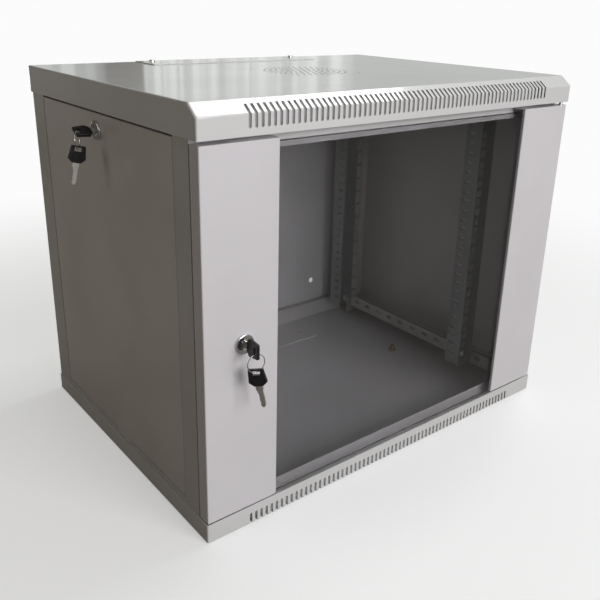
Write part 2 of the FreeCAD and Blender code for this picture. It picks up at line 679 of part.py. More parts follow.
def hinge_pin_top():
    """Upper pin with a spring collar and a bent finger lever at its foot."""
    top = COVER_BOTTOM + 3.5
    foot = PIN_BRACKET_Z - 12.0
    pin = rod(PIN_RADIUS, (HINGE_X, HINGE_Y, foot), (0, 0, 1), top - foot)
    tip = [e for e in pin.Edges if abs(e.BoundBox.ZMin - top) < 0.01]
    pin = pin.makeChamfer(0.8, tip)
    collar = rod(PIN_RADIUS + 1.4, (HINGE_X, HINGE_Y, PIN_COLLAR_Z), (0, 0, 1), 2.0)
    lever = rod(1.8, (HINGE_X, HINGE_Y, foot + 2.5), (-1, 0, 0), 24.0)
    return pin.fuse([collar, lever])


def hinge_pin_spring():
    """Coil spring between the bracket's floor and the upper pin's collar."""
    wire = 0.4
    low = PIN_BRACKET_Z + SHEET + wire + 0.1
    high = PIN_COLLAR_Z - wire - 0.1
    turns = 6
    radius = PIN_RADIUS + 0.75
    helix = Part.makeHelix((high - low) / turns, high - low, radius)
    section = Part.Wire(Part.makeCircle(wire, V(radius, 0, 0), V(0, 1, 0)))
    coil = Part.Wire(helix).makePipeShell([section], True, True)
    coil.translate(V(HINGE_X, HINGE_Y, low))
    return coil


# ---- locks and keys -----------------------------------------------------------------------
# A lock is built on +Z as its outward axis with the panel's outer face at z = 0, the key's
# width along X and its thickness along Y, then set into place on its panel.
def lock_body():
    """Barrel with two flats and a rounded bezel, bored for the plug."""
    barrel = rod(BARREL_RADIUS, (0, 0, -BARREL_LENGTH), (0, 0, 1), BARREL_LENGTH)
    flats = block(-20, 20, -8.4, 8.4, -BARREL_LENGTH - 1, 0)
    barrel = barrel.common(flats)
    bezel = rod(BEZEL_RADIUS, (0, 0, 0), (0, 0, 1), 3.0)
    rim = [e for e in bezel.Edges if abs(e.BoundBox.ZMin - 3.0) < 0.01]
    bezel = bezel.makeFillet(1.3, rim)
    body = clean(barrel.fuse(bezel))
    return body.cut(rod(PLUG_RADIUS + 0.05, (0, 0, -40), (0, 0, 1), 80))


def lock_nut():
    """Hexagon nut behind the sheet."""
    nut = hexagon(23, (0, 0, -SHEET - 3.0), (0, 0, 1), 3.0)
    return nut.cut(rod(BARREL_RADIUS + 0.05, (0, 0, -10), (0, 0, 1), 20))


def lock_plug():
    """Keyed plug that turns in the barrel and ends in a square tail for the cam."""
    plug = rod(PLUG_RADIUS, (0, 0, CAM_TOP), (0, 0, 1), 2.6 - CAM_TOP)
    rim = [e for e in plug.Edges if abs(e.BoundBox.ZMin - 2.6) < 0.01]
    plug = plug.makeChamfer(0.5, rim)
    tail = block(-3.4, 3.4, -3.4, 3.4, CAM_TOP - 1.9, CAM_TOP)
    keyway = block(-4.4, 4.4, -1.2, 1.2, -19.0, 4.0)
    return clean(plug.fuse(tail)).cut(keyway)


def lock_cam(direction):
    """Flat cam on the plug's tail, with its screw; direction is +1 or -1 along X."""
    far = CAM_LENGTH - CAM_WIDTH / 2
    z = CAM_TOP - 2.0
    bar = block(0, far, -CAM_WIDTH / 2, CAM_WIDTH / 2, z, z + 2.0)
    cam = bar.fuse([rod(CAM_WIDTH / 2, (0, 0, z), (0, 0, 1), 2.0),
                    rod(CAM_WIDTH / 2, (far, 0, z), (0, 0, 1), 2.0)])
    cam = clean(cam).cut(block(-3.45, 3.45, -3.45, 3.45, z - 1, z + 3))
    if direction < 0:
        cam = cam.mirror(V(0, 0, 0), V(1, 0, 0))
    return cam


def lock_cam_screw():
    """Pan-head screw that clamps the cam on the tail."""
    return pan_screw((0, 0, CAM_TOP - 1.9), (0, 0, -1), 0.1, 2.0, 4.6, 2.2)


def key_head():
    """Moulded key head: tapered six-sided outline with a long slot near its outer end."""
    outline = [(-5, 0), (5, 0), (10.5, 4.5), (8.4, HEAD_LENGTH), (-8.4, HEAD_LENGTH), (-10.5, 4.5)]
    half = HEAD_THICKNESS / 2
    head = prism([(x, -half, z) for x, z in outline], (0, HEAD_THICKNESS, 0))
    upright = [e for e in head.Edges if e.BoundBox.YLength > HEAD_THICKNESS - 0.1]
    head = head.makeFillet(1.0, upright)
    faces = [e for e in head.Edges if e.BoundBox.YLength < 0.01]
    head = head.makeFillet(0.7, faces)
    half_length = HEAD_SLOT_LENGTH / 2
    half_width = HEAD_SLOT_WIDTH / 2
    slot = block(-half_length, half_length, -HEAD_THICKNESS, HEAD_THICKNESS,
                 HEAD_SLOT_AT - half_width, HEAD_SLOT_AT + half_width)
    corners = [e for e in slot.Edges if e.BoundBox.YLength > HEAD_THICKNESS]
    return head.cut(slot.makeFillet(0.7, corners))


def key_blade():
    """Flat nickel blade with cuts along one edge and a rounded tip; its root is in the head."""
    half = BLADE_THICKNESS / 2
    outline = [(-3.6, 6.0), (3.6, 6.0), (3.6, 0), (4.1, -1.0), (4.1, -4.0), (3.2, -5.0),
               (3.2, -BLADE_LENGTH + 2.5), (1.4, -BLADE_LENGTH), (-0.6, -BLADE_LENGTH),
               (-2.0, -BLADE_LENGTH + 2.5)]
    notches = [(-2.0, -20.5), (-1.2, -19.5), (-2.4, -17.6), (-1.6, -16.2), (-2.6, -14.4),
               (-1.4, -13.0), (-2.2, -11.2), (-1.8, -9.6), (-3.0, -7.6), (-3.2, -5.0),
               (-4.1, -4.0), (-4.1, -1.0), (-3.6, 0)]
    blade = prism([(x, -half, z) for x, z in outline + notches], (0, BLADE_THICKNESS, 0))
    groove = block(0.4, 1.6, half - 0.5, half + 1, -BLADE_LENGTH - 1, -1.5)
    return blade.cut(groove)


def key_head_with_socket():
    """Key head hollowed for the blade's root."""
    return key_head().cut(block(-3.6, 3.6, -BLADE_THICKNESS / 2, BLADE_THICKNESS / 2, -1, 6.0))


def unit(vector):
    """A vector scaled to length one."""
    v = V(*vector)
    return v * (1 / v.Length)


def lock_frame(origin, outward, width_axis):
    """The three axes of a lock: width, thickness and outward."""
    z_axis = unit(outward)
    x_axis = unit(width_axis)
    y_axis = z_axis.cross(x_axis)
    return (origin, x_axis, y_axis, z_axis)


def key_ring(centre, along):
    """Split ring in an upright plane that contains the given horizontal direction."""
    d = unit(along)
    normal = d.cross(V(0, 0, 1))
    ring = Part.makeTorus(RING_RADIUS, RING_WIRE, V(*centre), normal)
    return ring


def spare_key_frame(ring_bottom, face_along, tilt_deg, contact_x):
    """Axes for a key that hangs blade down from a ring, its slot's top bar on the wire."""
    p = unit(face_along)
    up = V(0, 0, 1)
    a = math.radians(tilt_deg)
    x_axis = p * math.cos(a) + up * math.sin(a)
    z_axis = up * math.cos(a) - p * math.sin(a)
    y_axis = z_axis.cross(x_axis)
    bar_z = HEAD_SLOT_AT + HEAD_SLOT_WIDTH / 2 - RING_WIRE - SPARE_GAP
    origin = V(*ring_bottom) - x_axis * contact_x - z_axis * bar_z
    return (origin, x_axis, y_axis, z_axis)


DOOR_LOCK = lock_frame(V(LOCK_X_DOOR, DOOR_FRONT, LOCK_Z_DOOR), (0, -1, 0), (0, 0, 1))
DOOR_RING_ALONG = (math.cos(math.radians(4)), -math.sin(math.radians(4)), 0)
DOOR_RING_CENTRE = (LOCK_X_DOOR, DOOR_FRONT - KEY_STANDOFF - HEAD_SLOT_AT,
                    LOCK_Z_DOOR - HEAD_SLOT_LENGTH / 2 + RING_WIRE + RING_GAP - RING_RADIUS)
DOOR_SPARE_ALONG = (math.cos(math.radians(52)), -math.sin(math.radians(52)), 0)
DOOR_SPARE = spare_key_frame(
    (DOOR_RING_CENTRE[0], DOOR_RING_CENTRE[1], DOOR_RING_CENTRE[2] - RING_RADIUS),
    DOOR_SPARE_ALONG, 12, 0.0)

SIDE_KEY_TURN = math.radians(67)
SIDE_LOCK = lock_frame(V(-SIDE_FACE, LOCK_Y_SIDE, LOCK_Z_SIDE), (-1, 0, 0),
                       (0, math.sin(SIDE_KEY_TURN), math.cos(SIDE_KEY_TURN)))
SIDE_RING_ALONG = (math.cos(math.radians(54)), math.sin(math.radians(54)), 0)
SIDE_RING_CENTRE = (-324.2, 4.3, 424.9)
SIDE_SPARE = spare_key_frame(
    (SIDE_RING_CENTRE[0], SIDE_RING_CENTRE[1], SIDE_RING_CENTRE[2] - RING_RADIUS),
    (1, 0, 0), -14, 0.0)
RIGHT_LOCK = lock_frame(V(SIDE_FACE, LOCK_Y_SIDE, LOCK_Z_SIDE), (1, 0, 0),
                        (0, math.sin(SIDE_KEY_TURN), math.cos(SIDE_KEY_TURN)))


def inserted(shape, frame):
    """A key piece moved out from the panel by the stand-off of an inserted key."""
    moved = shape.copy()
    moved.translate(V(0, 0, KEY_STANDOFF))
    return placed(moved, *frame)


# ---- side panels --------------------------------------------------------------------------
def side_panel_left():
    """Removable side: a folded pan with a tongue at the foot and a hole for its lock."""
    t = SHEET
    x0 = -SIDE_FACE
    x1 = x0 + PANEL_FOLD
    outer = block(x0, x1, PANEL_FRONT, PANEL_REAR, PANEL_BOTTOM, PANEL_TOP)
    edges = [e for e in outer.Edges if abs(e.BoundBox.XMax - x0) < 0.01]
    outer = outer.makeFillet(1.4, edges)
    pan = outer.cut(block(x0 + t, x1 + 5, PANEL_FRONT + t, PANEL_REAR - t, PANEL_BOTTOM + t,
                          PANEL_TOP - t))
    tongue = block(x0, x0 + t, TONGUE_FRONT, TONGUE_REAR, TONGUE_BOTTOM, PANEL_BOTTOM + 3)
    pan = clean(pan.fuse(tongue))
    return pan.cut(rod(BARREL_RADIUS + 0.2, (x0 - 2, LOCK_Y_SIDE, LOCK_Z_SIDE), (1, 0, 0), 6))


# ---- assembly -----------------------------------------------------------------------------
def build_nodes():
    """Every sub-part by name."""
    nodes = {}
    nodes["top_cover"] = top_cover()
    nodes["base_tray"] = base_tray()
    nodes["top_cable_plate"] = cable_plate(HEIGHT, CABLE_FRONT, CABLE_REAR, CABLE_SCREW_Y)
    nodes["base_cable_plate"] = cable_plate(SHEET, BASE_CABLE_FRONT, BASE_CABLE_REAR, BASE_SCREW_Y)
    nodes["cable_plate_screws"] = cable_plate_screws()
    nodes["front_crossbar_top"] = front_crossbar(437.5, HEIGHT - SHEET, 437.5)
    nodes["front_crossbar_bottom"] = front_crossbar(SHEET, 30.5, SHEET)
    nodes["rear_crossbar_top"] = rear_crossbar(452.0, HEIGHT - SHEET, False)
    nodes["rear_crossbar_bottom"] = rear_crossbar(SHEET, 30.0, True)
    left_pieces = {
        "front_post": front_post_left(),
        "rear_post": rear_post_left(),
        "lower_side_rail": lower_side_rail_left(),
        "upper_side_rail": upper_side_rail_left(),
        "front_rack_rail": rack_rail_left(RACK_FRONT_Y, 1),
        "rear_rack_rail": rack_rail_left(RACK_REAR_Y, -1)}
    for name, shape in left_pieces.items():
        nodes[name + "_left"] = shape
        nodes[name + "_right"] = mirrored(shape)
    for name, shape in (("lower_depth_brackets", lower_bracket_left()),
                        ("upper_depth_brackets", upper_bracket_left())):
        nodes[name] = Part.makeCompound([shape, mirrored(shape)])
    nodes["rack_rail_bolts"] = rack_rail_bolts()
    nodes["rear_panel"] = rear_panel()
    nodes["pan_head_screws"] = Part.makeCompound(frame_screws() + rear_panel_screws())
    nodes["earth_stud"] = earth_stud()
    nodes["hinge_bushes"] = hinge_bushes()
    nodes["door_strip_left"] = door_strip_left()
    nodes["door_strip_right"] = door_strip_right()
    nodes["door_glass"] = door_glass()
    nodes["door_glass_tape"] = door_glass_tape()
    nodes["hinge_pin_bottom"] = hinge_pin_bottom()
    nodes["hinge_pin_bracket"] = hinge_pin_bracket()
    nodes["hinge_pin_top"] = hinge_pin_top()
    nodes["hinge_pin_spring"] = hinge_pin_spring()
    locks = (("door", DOOR_LOCK, -1), ("left", SIDE_LOCK, 1), ("right", RIGHT_LOCK, 1))
    for name, frame, cam_side in locks:
        nodes[name + "_lock_body"] = placed(lock_body(), *frame)
        nodes[name + "_lock_nut"] = placed(lock_nut(), *frame)
        nodes[name + "_lock_plug"] = placed(lock_plug(), *frame)
        cam = placed(lock_cam(cam_side), *frame)
        nodes[name + "_lock_cam"] = Part.makeCompound([cam, placed(lock_cam_screw(), *frame)])
    keys = (("door", DOOR_LOCK, DOOR_RING_CENTRE, DOOR_RING_ALONG, DOOR_SPARE),
            ("left", SIDE_LOCK, SIDE_RING_CENTRE, SIDE_RING_ALONG, SIDE_SPARE))
    for name, frame, centre, along, spare in keys:
        nodes[name + "_key_head"] = inserted(key_head_with_socket(), frame)
        nodes[name + "_key_blade"] = inserted(key_blade(), frame)
        nodes[name + "_key_ring"] = key_ring(centre, along)
        nodes[name + "_spare_key_head"] = placed(key_head_with_socket(), *spare)
        nodes[name + "_spare_key_blade"] = placed(key_blade(), *spare)
    nodes["side_panel_left"] = side_panel_left()
    nodes["side_panel_right"] = mirrored(side_panel_left())
    return nodes


os.makedirs("parts", exist_ok=True)
for node_name, node_shape in build_nodes().items():
    box = node_shape.BoundBox
    print(node_name, len(node_shape.Solids), node_shape.isValid(),
          [round(v, 1) for v in (box.XMin, box.XMax, box.YMin, box.YMax, box.ZMin, box.ZMax)])
    node_shape.exportStep("parts/" + node_name + ".step")
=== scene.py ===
import json
import math
import bpy
from mathutils import Matrix, Vector


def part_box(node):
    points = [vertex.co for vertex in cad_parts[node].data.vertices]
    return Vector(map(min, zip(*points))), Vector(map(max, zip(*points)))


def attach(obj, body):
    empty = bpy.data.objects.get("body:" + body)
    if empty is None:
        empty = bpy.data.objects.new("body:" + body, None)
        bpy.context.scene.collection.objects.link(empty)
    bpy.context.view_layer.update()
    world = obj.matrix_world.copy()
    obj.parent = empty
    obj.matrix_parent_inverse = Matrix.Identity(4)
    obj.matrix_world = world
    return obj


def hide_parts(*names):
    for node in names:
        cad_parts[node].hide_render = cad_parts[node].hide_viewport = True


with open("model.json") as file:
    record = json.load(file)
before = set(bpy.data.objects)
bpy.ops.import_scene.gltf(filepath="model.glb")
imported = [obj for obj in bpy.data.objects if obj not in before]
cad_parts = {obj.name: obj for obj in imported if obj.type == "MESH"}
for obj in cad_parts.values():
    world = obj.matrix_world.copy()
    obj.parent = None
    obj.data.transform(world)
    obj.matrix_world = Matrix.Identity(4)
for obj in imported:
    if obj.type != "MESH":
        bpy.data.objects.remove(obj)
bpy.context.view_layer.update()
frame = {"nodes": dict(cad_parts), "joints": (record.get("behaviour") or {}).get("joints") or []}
nodes = frame["nodes"]


# ---- camera -------------------------------------------------------------------------------
# A level-eyed view over the left front corner of the cabinet, a little above its lid,
# rolled very slightly, as someone standing beside the bench would see it.
azimuth, elevation, roll = (math.radians(a) for a in (-38.87, 19.86, 1.414))
camera_back = Vector((math.sin(azimuth) * math.cos(elevation),
                      -math.cos(azimuth) * math.cos(elevation), math.sin(elevation)))
level_right = Vector((0, 0, 1)).cross(camera_back).normalized()
level_up = camera_back.cross(level_right)
camera_right = level_right * math.cos(roll) + level_up * math.sin(roll)
camera_up = level_up * math.cos(roll) - level_right * math.sin(roll)
lens = bpy.data.cameras.new("camera")
lens.lens = 43.49
lens.shift_x = -0.0069
lens.shift_y = -0.0616
camera = bpy.data.objects.new("camera", lens)
camera.matrix_world = Matrix((camera_right, camera_up, camera_back)).transposed().to_4x4()
camera.location = (-0.63567, -0.79834, 0.57939)
bpy.context.scene.collection.objects.link(camera)
bpy.context.scene.camera = camera


# ---- studio floor and light ---------------------------------------------------------------
# A pale floor, one broad soft light in front, one above, weak fills at the left and rear,
# and a pale curtain behind whose folds show as soft stripes in the lid's gloss.
def mesh_piece(name, vertices, faces):
    """A new mesh object from points and faces."""
    mesh = bpy.data.meshes.new(name)
    mesh.from_pydata([tuple(v) for v in vertices], [], faces)
    mesh.update()
    piece = bpy.data.objects.new(name, mesh)
    bpy.context.scene.collection.objects.link(piece)
    return piece


def new_finish(name):
    """An empty material with its surface shader."""
    finish = bpy.data.materials.new(name)
    finish.use_nodes = True
    tree = finish.node_tree
    tree.nodes.clear()
    output = tree.nodes.new("ShaderNodeOutputMaterial")
    surface = tree.nodes.new("ShaderNodeBsdfPrincipled")
    tree.links.new(surface.outputs["BSDF"], output.inputs["Surface"])
    return finish, tree, surface


def set_up(tree, kind, inputs=None, **settings):
    """A node with its settings, and its inputs set or linked by name."""
    node = tree.nodes.new(kind)
    for key, value in settings.items():
        setattr(node, key, value)
    for key, value in (inputs or {}).items():
        if isinstance(value, bpy.types.NodeSocket):
            tree.links.new(value, node.inputs[key])
        else:
            node.inputs[key].default_value = value
    return node


floor_half = 9.0
floor_level = -0.0006
floor_dark = (0.17, 0.155, 0.135, 1)
floor_pale = (0.95, 0.95, 0.95, 1)
fade_from = 0.45
fade_to = 1.5
floor = mesh_piece("floor", [(x * floor_half, y * floor_half, floor_level)
                             for x, y in ((-1, -1), (1, -1), (1, 1), (-1, 1))], [(0, 1, 2, 3)])
floor_finish, tree, surface = new_finish("pale_floor")
surface.inputs["Roughness"].default_value = 0.75
surface.inputs["Specular IOR Level"].default_value = 0.2
# the pale floor is what the eye meets, straight or through the glass; bounced light meets a
# darker one
rays = tree.nodes.new("ShaderNodeLightPath")
bounces = set_up(tree, "ShaderNodeMath", {0: rays.outputs["Diffuse Depth"],
                                          1: rays.outputs["Glossy Depth"]})
through = set_up(tree, "ShaderNodeMath", {0: rays.outputs["Is Transmission Ray"],
                                          1: bounces.outputs[0]}, operation="SUBTRACT",
                 use_clamp=True)
direct = set_up(tree, "ShaderNodeMath", {0: rays.outputs["Is Camera Ray"],
                                         1: through.outputs[0]}, operation="MAXIMUM").outputs[0]
floor_tone = set_up(tree, "ShaderNodeMix", {"Factor": direct, "A": floor_dark, "B": floor_pale},
                    data_type="RGBA")
tree.links.new(floor_tone.outputs["Result"], surface.inputs["Base Color"])
# the floor also glows with painted light where the eye meets it, faintest next to the cabinet and full
# beyond 1.5 m, which pales the cabinet's shadow
own_way = tree.nodes.new("ShaderNodeTexCoord").outputs["Object"]
distance = set_up(tree, "ShaderNodeVectorMath", {0: own_way}, operation="LENGTH")
fade = set_up(tree, "ShaderNodeMapRange",
              {"Value": distance.outputs["Value"], "From Min": fade_from, "From Max": fade_to,
               "To Min": 0.42}, interpolation_type="SMOOTHSTEP")
share = set_up(tree, "ShaderNodeMath", {0: fade.outputs["Result"], 1: direct},
               operation="MULTIPLY")
painted_floor_glow = set_up(tree, "ShaderNodeEmission", {"Color": (0.97, 0.97, 0.97, 1)})
floor_mix = set_up(tree, "ShaderNodeMixShader", {0: share.outputs[0], 1: surface.outputs["BSDF"],
                                                 2: painted_floor_glow.outputs["Emission"]})
tree.links.new(floor_mix.outputs["Shader"], tree.nodes["Material Output"].inputs["Surface"])
floor.data.materials.append(floor_finish)

world = bpy.data.worlds.new("studio")
world.use_nodes = True
bpy.context.scene.world = world
sky = world.node_tree
sky.nodes.clear()
sky_out = sky.nodes.new("ShaderNodeOutputWorld")
sky_mix = sky.nodes.new("ShaderNodeMixShader")
sky_rays = sky.nodes.new("ShaderNodeLightPath")
sky_seen = sky.nodes.new("ShaderNodeBackground")
sky_seen.inputs["Color"].default_value = (0.97, 0.97, 0.97, 1)
sky_lit = sky.nodes.new("ShaderNodeBackground")
sky_way = sky.nodes.new("ShaderNodeTexCoord")


def sky_sum(operation, first, second=0.0, third=0.0):
    """The result of one sum in the studio's surroundings."""
    node = sky.nodes.new("ShaderNodeMath")
    node.operation = operation
    for socket, value in zip(node.inputs, (first, second, third)):
        if isinstance(value, bpy.types.NodeSocket):
            sky.links.new(value, socket)
        else:
            socket.default_value = value
    return node.outputs[0]


def sky_between(value, low, high, to_low=0.0, to_high=1.0):
    """A value eased from one range to another."""
    node = sky.nodes.new("ShaderNodeMapRange")
    node.interpolation_type = "SMOOTHSTEP"
    sky.links.new(value, node.inputs["Value"])
    for label, number in (("From Min", low), ("From Max", high), ("To Min", to_low),
                          ("To Max", to_high)):
        node.inputs[label].default_value = number
    return node.outputs[0]


sky_parts = sky.nodes.new("ShaderNodeSeparateXYZ")
sky.links.new(sky_way.outputs["Generated"], sky_parts.inputs[0])
sky_x, sky_y, sky_z = sky_parts.outputs
sky_bearing = sky_sum("DEGREES", sky_sum("ARCTAN2", sky_y, sky_x))
# a pale curtain with soft folds behind and to the right, with one dark gap between drops;
# bearings are in degrees round from +X, and right of the first drop is a plain pale wall
wall_tone = 0.56
first_drop = 47.6
gap_start = 63.4
gap_end = 66.0
sky_folds = sky.nodes.new("ShaderNodeTexNoise")
sky_folds.noise_dimensions = "1D"
sky_folds.inputs["Detail"].default_value = 2.0
sky_folds.inputs["Scale"].default_value = 1.05
sky.links.new(sky_bearing, sky_folds.inputs["W"])
sky_hung = sky_between(sky_bearing, first_drop, first_drop + 0.8)
sky_curtain = sky_between(sky_folds.outputs[0], 0.34, 0.66, 0.66, 1.0)
sky_curtain = sky_sum("MULTIPLY_ADD", sky_sum("SUBTRACT", sky_curtain, wall_tone), sky_hung,
                      wall_tone)
sky_gap = sky_sum("MULTIPLY", sky_between(sky_bearing, gap_start, gap_start + 0.4),
                  sky_between(sky_bearing, gap_end, gap_end + 1.4, 0.94, 0.34))
sky_gap = sky_sum("MULTIPLY", sky_gap, sky_between(sky_bearing, 66.5, 73.0, 1.0, 0.25))
sky_curtain = sky_sum("MULTIPLY", sky_curtain, sky_sum("SUBTRACT", 1.0, sky_gap))
sky_reach = sky_sum("MULTIPLY", sky_between(sky_bearing, 10.0, 24.0),
                    sky_between(sky_bearing, 68.0, 96.0, 1.0, 0.10))
sky_reach = sky_sum("MULTIPLY", sky_reach, sky_between(sky_z, 0.30, 0.60, 1.0, 0.0))
sky_side = sky.nodes.new("ShaderNodeVectorMath")
sky_side.operation = "DOT_PRODUCT"
sky_side.inputs[1].default_value = Vector((0.72, -0.62, 0.30)).normalized()
sky.links.new(sky_way.outputs["Generated"], sky_side.inputs[0])
sky_room = sky_between(sky_side.outputs["Value"], -0.75, 1.0, 0.045, 0.34)
sky_value = sky_sum("MAXIMUM", sky_room, sky_sum("MULTIPLY", sky_curtain, sky_reach))
sky_tint = sky.nodes.new("ShaderNodeMix")
sky_tint.data_type = "RGBA"
sky_tint.inputs["A"].default_value = (1.0, 0.90, 0.77, 1)
sky_tint.inputs["B"].default_value = (0.97, 1.0, 0.975, 1)
sky.links.new(sky_between(sky_value, 0.04, 0.25), sky_tint.inputs["Factor"])
sky.links.new(sky_tint.outputs["Result"], sky_lit.inputs["Color"])
sky.links.new(sky_value, sky_lit.inputs["Strength"])
sky_bounces = sky_sum("ADD", sky_rays.outputs["Diffuse Depth"], sky_rays.outputs["Glossy Depth"])
sky_through = sky_sum("SUBTRACT", sky_rays.outputs["Is Transmission Ray"], sky_bounces)
sky_direct = sky_sum("MAXIMUM", sky_rays.outputs["Is Camera Ray"], sky_through)
sky.links.new(sky_direct, sky_mix.inputs["Fac"])
sky.links.new(sky_lit.outputs["Background"], sky_mix.inputs[1])
sky.links.new(sky_seen.outputs["Background"], sky_mix.inputs[2])
sky.links.new(sky_mix.outputs["Shader"], sky_out.inputs["Surface"])
bpy.context.scene.view_settings.view_transform = "Standard"


def light_panel(name, place, aim, width, height, power, colour=(1, 1, 1)):
    """A rectangular soft light turned to face a point."""
    panel = bpy.data.lights.new(name, "AREA")
    panel.shape = "RECTANGLE"
    panel.size = width
    panel.size_y = height
    panel.energy = power
    panel.color = colour
    holder = bpy.data.objects.new(name, panel)
    holder.location = place
    holder.rotation_euler = (Vector(aim) - Vector(place)).to_track_quat("-Z", "Y").to_euler()
    bpy.context.scene.collection.objects.link(holder)
    return holder


middle = (0, 0, 0.25)
light_panel("front_light", (0.45, -3.0, 1.2), middle, 1.9, 1.5, 78, (1.0, 0.985, 1.0))
light_panel("upper_light", (1.62, 0.10, 2.85), middle, 1.1, 1.1, 30, (1.0, 1.0, 0.99))
light_panel("left_fill", (-2.0, 0.75, 0.75), (-0.3, 0.1, 0.28), 0.8, 0.8, 4.5, (1.0, 0.90, 0.78))
light_panel("rear_fill", (0.5, 3.0, 0.24), (0, 0, 0.24), 2.2, 0.36, 22)


# ---- powder-coated steel covers -----------------------------------------------------------
# The lid, floor tray, rear panel and cable plates are folded 1.2 mm steel sheet with a
# semi-gloss light grey powder coat, screwed to the frame from outside.
def new_effect(name, inputs, outputs):
    """An empty node group with its named inputs and outputs."""
    group = bpy.data.node_groups.new(name, "ShaderNodeTree")
    for label, kind, value in inputs:
        socket = group.interface.new_socket(label, in_out="INPUT", socket_type="NodeSocket" + kind)
        socket.default_value = value
    for label, kind in outputs:
        group.interface.new_socket(label, in_out="OUTPUT", socket_type="NodeSocket" + kind)
    return group, group.nodes.new("NodeGroupInput"), group.nodes.new("NodeGroupOutput")


def place_effect(tree, group, **inputs):
    """An effect placed in a finish, with its inputs set by name (underscores are spaces)."""
    node = tree.nodes.new("ShaderNodeGroup")
    node.node_tree = group
    for key, value in inputs.items():
        label = key.replace("_", " ")
        if isinstance(value, bpy.types.NodeSocket):
            tree.links.new(value, node.inputs[label])
        else:
            node.inputs[label].default_value = value
    return node


def calculate(tree, operation, first, second=0.0, clamp=False):
    """The result of one sum on numbers or sockets."""
    return set_up(tree, "ShaderNodeMath", {0: first, 1: second}, operation=operation,
                  use_clamp=clamp).outputs[0]


def shade(tree, factor, first, second, blend="MIX"):
    """Two colours mixed by a factor."""
    node = tree.nodes.new("ShaderNodeMix")
    node.data_type = "RGBA"
    node.blend_type = blend
    for socket, value in ((node.inputs[0], factor), (node.inputs[6], first), (node.inputs[7], second)):
        if isinstance(value, bpy.types.NodeSocket):
            tree.links.new(value, socket)
        else:
            socket.default_value = value
    return node.outputs[2]


def stretch(tree, value, low, high, to_low=0.0, to_high=1.0):
    """A value carried from one range to another and held inside it."""
    return set_up(tree, "ShaderNodeMapRange",
                  {"Value": value, "From Min": low, "From Max": high, "To Min": to_low,
                   "To Max": to_high}, interpolation_type="SMOOTHSTEP").outputs[0]


def noise(tree, way, scale, detail=3.0, roughness=0.5):
    """Smooth noise laid along a set of coordinates."""
    return set_up(tree, "ShaderNodeTexNoise", {"Vector": way, "Scale": scale, "Detail": detail,
                                               "Roughness": roughness}).outputs["Fac"]


def bump(tree, height, distance, strength=1.0, normal=None):
    """A bumped normal from a height."""
    node = set_up(tree, "ShaderNodeBump", {"Height": height, "Distance": distance,
                                           "Strength": strength})
    if normal is not None:
        tree.links.new(normal, node.inputs["Normal"])
    return node.outputs["Normal"]


# cured powder skin: a fine ripple, faint clouding and a slightly uneven gloss
powder_skin, entry, leave = new_effect(
    "powder_skin",
    [("Colour", "Color", (0.6, 0.6, 0.6, 1)), ("Clouding", "Float", 0.05), ("Ripple", "Float", 1.0),
     ("Gloss", "Float", 0.35)],
    [("Colour", "Color"), ("Roughness", "Float"), ("Height", "Float")])
own_way = powder_skin.nodes.new("ShaderNodeTexCoord").outputs["Object"]
cloud = noise(powder_skin, own_way, 7.0, 4.0)
ripple = noise(powder_skin, own_way, 620.0, 2.0)
long_ripple = noise(powder_skin, own_way, 150.0, 2.0)
darker = shade(powder_skin, 1.0, entry.outputs["Colour"], (0.80, 0.79, 0.77, 1), "MULTIPLY")
cloud_share = calculate(powder_skin, "MULTIPLY", stretch(powder_skin, cloud, 0.35, 0.75),
                        entry.outputs["Clouding"])
powder_skin.links.new(shade(powder_skin, cloud_share, entry.outputs["Colour"], darker),
                      leave.inputs["Colour"])
powder_skin.links.new(calculate(powder_skin, "ADD", entry.outputs["Gloss"],
                                calculate(powder_skin, "MULTIPLY",
                                          calculate(powder_skin, "SUBTRACT", cloud, 0.5), 0.12)),
                      leave.inputs["Roughness"])
both = calculate(powder_skin, "ADD", calculate(powder_skin, "MULTIPLY", ripple, 0.45),
                 calculate(powder_skin, "MULTIPLY", long_ripple, 0.55))
powder_skin.links.new(calculate(powder_skin, "MULTIPLY", both, entry.outputs["Ripple"]),
                      leave.inputs["Height"])

# rounded edges: a softened normal, and a mask that is 1 along edges
edge_round, entry, leave = new_effect(
    "edge_round", [("Radius", "Float", 0.0006)], [("Normal", "Vector"), ("Edge", "Float")])
softened = set_up(edge_round, "ShaderNodeBevel", {"Radius": entry.outputs["Radius"]}, samples=4)
plain = edge_round.nodes.new("ShaderNodeNewGeometry").outputs["Normal"]
agree = set_up(edge_round, "ShaderNodeVectorMath", {0: softened.outputs["Normal"], 1: plain},
               operation="DOT_PRODUCT").outputs["Value"]
edge_round.links.new(softened.outputs["Normal"], leave.inputs["Normal"])
edge_round.links.new(stretch(edge_round, agree, 0.995, 0.80), leave.inputs["Edge"])

# settled dust: a pale film in patches on faces that look up
settled_dust, entry, leave = new_effect(
    "settled_dust", [("Colour", "Color", (0.6, 0.6, 0.6, 1)), ("Amount", "Float", 0.3)],
    [("Colour", "Color"), ("Mask", "Float")])
own_way = settled_dust.nodes.new("ShaderNodeTexCoord")
upward = set_up(settled_dust, "ShaderNodeSeparateXYZ", {0: own_way.outputs["Normal"]}).outputs["Z"]
patches = stretch(settled_dust, noise(settled_dust, own_way.outputs["Object"], 11.0, 6.0, 0.65),
                  0.42, 0.72)
lying = calculate(settled_dust, "MULTIPLY", stretch(settled_dust, upward, 0.6, 0.98), patches)
lying = calculate(settled_dust, "MULTIPLY", lying, entry.outputs["Amount"])
settled_dust.links.new(shade(settled_dust, lying, entry.outputs["Colour"], (0.50, 0.49, 0.46, 1)),
                       leave.inputs["Colour"])
settled_dust.links.new(lying, leave.inputs["Mask"])


